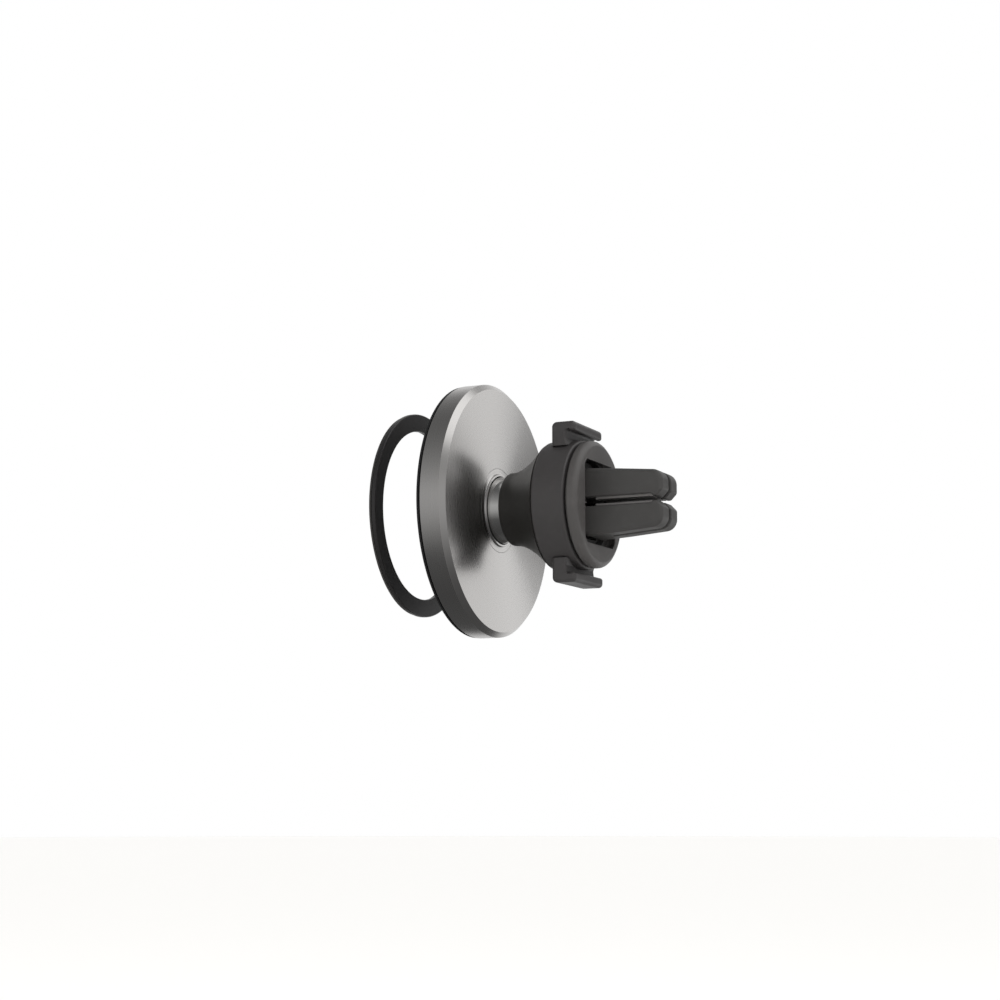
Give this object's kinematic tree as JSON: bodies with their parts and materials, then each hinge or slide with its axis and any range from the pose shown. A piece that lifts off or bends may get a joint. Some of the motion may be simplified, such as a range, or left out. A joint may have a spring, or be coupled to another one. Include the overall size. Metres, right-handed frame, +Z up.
{
  "type": "magnetic car phone mount",
  "caption": "Magnetic phone mount for a car vent: turned metal disc on a ball joint, twist-lock clip with split jaws, and a stick-on steel ring.",
  "frame": {"origin": "on the mount's axis, in the plane of the clip's front plate, where a vent blade enters between the jaws", "axes": "+Y along the mount's axis from the phone side to the tips of the jaws, +Z up across the slot between the jaws, +X along the vent blade"},
  "size_m": [0.0592, 0.064, 0.0592],
  "materials": {
    "satin_aluminium": "fine turned satin, clear anodised",
    "polished_steel": "mirror polished",
    "plain_steel": "machined, bright zinc",
    "nickel_magnet": "nickel plated",
    "face_silicone": "soft matt silicone",
    "bell_plastic": "fine satin moulding",
    "clip_plastic": "fine spark texture",
    "plate_plastic": "fine spark texture",
    "inner_plastic": "plain moulding",
    "jaw_rubber": "soft-touch, fine matt",
    "pad_silicone": "soft silicone",
    "liner_nylon": "natural nylon",
    "adapter_lacquer": "dark lacquer on steel",
    "adhesive_foam": "acrylic foam tape"
  },
  "bodies": {
    "clip_body": {"core_body": "inner_plastic", "bell_collar": "bell_plastic", "front_plate": "plate_plastic", "ball_stud": "polished_steel", "stud_washer": "plain_steel", "stud_nut": "plain_steel", "upper_pin": "plain_steel", "lower_pin": "plain_steel", "jaw_spring": "plain_steel"},
    "liner": {"ball_liner": "liner_nylon"},
    "cup": {"friction_cup": "plain_steel"},
    "head": {"head_shell": "satin_aluminium", "face_cover": "face_silicone", "magnet_tray": "inner_plastic", "shunt_plate": "plain_steel", "socket_block": "inner_plastic", "socket_ring": "polished_steel", "socket_screw_1": "plain_steel", "socket_screw_2": "plain_steel", "socket_screw_3": "plain_steel", "magnet_01": "nickel_magnet", "magnet_02": "nickel_magnet", "magnet_03": "nickel_magnet", "magnet_04": "nickel_magnet", "magnet_05": "nickel_magnet", "magnet_06": "nickel_magnet", "magnet_07": "nickel_magnet", "magnet_08": "nickel_magnet", "magnet_09": "nickel_magnet", "magnet_10": "nickel_magnet", "magnet_11": "nickel_magnet", "magnet_12": "nickel_magnet"},
    "adapter": {"adapter_ring": "adapter_lacquer", "adhesive_pad": "adhesive_foam"},
    "twist": {"twist_ring": "clip_plastic"},
    "clamp": {"clamp_collar": "inner_plastic", "left_peg": "plain_steel", "right_peg": "plain_steel"},
    "upper_jaw": {"upper_jaw": "jaw_rubber", "upper_left_pad": "pad_silicone", "upper_right_pad": "pad_silicone"},
    "lower_jaw": {"lower_jaw": "jaw_rubber", "lower_left_pad": "pad_silicone", "lower_right_pad": "pad_silicone"}
  },
  "joints": [
    {"name": "head_tilt", "type": "hinge", "parent": "clip_body", "child": "liner", "pos_m": [0, -0.0258, 0], "axis": [1, 0, 0], "range_deg": [-12, 12]},
    {"name": "head_pan", "type": "hinge", "parent": "liner", "child": "cup", "pos_m": [0, -0.0258, 0], "axis": [0, 0, 1], "range_deg": [-12, 12]},
    {"name": "head_swivel", "type": "hinge", "parent": "cup", "child": "head", "pos_m": [0, -0.0258, 0], "axis": [0, 1, 0], "continuous": true},
    {"name": "adapter_seat", "type": "slide", "parent": "head", "child": "adapter", "axis": [0, 1, 0], "range_m": [0, 0.0129]},
    {"name": "twist_turn", "type": "hinge", "parent": "clip_body", "child": "twist", "pos_m": [0, -0.007, 0], "axis": [0, 1, 0], "range_deg": [0, 180]},
    {"name": "collar_slide", "type": "slide", "parent": "clip_body", "child": "clamp", "axis": [0, 1, 0], "range_m": [-0.0018, 0]},
    {"name": "upper_jaw_open", "type": "hinge", "parent": "clip_body", "child": "upper_jaw", "pos_m": [0, -0.0102, 0.004], "axis": [1, 0, 0], "range_deg": [0, 3.42]},
    {"name": "lower_jaw_open", "type": "hinge", "parent": "clip_body", "child": "lower_jaw", "pos_m": [0, -0.0102, -0.004], "axis": [1, 0, 0], "range_deg": [-3.42, 0]}
  ],
  "couplings": [
    {"joint": "collar_slide", "follows": "twist_turn", "m_per_rad": -0.000572},
    {"joint": "upper_jaw_open", "follows": "twist_turn", "ratio": 0.019},
    {"joint": "lower_jaw_open", "follows": "twist_turn", "ratio": -0.019}
  ]
}
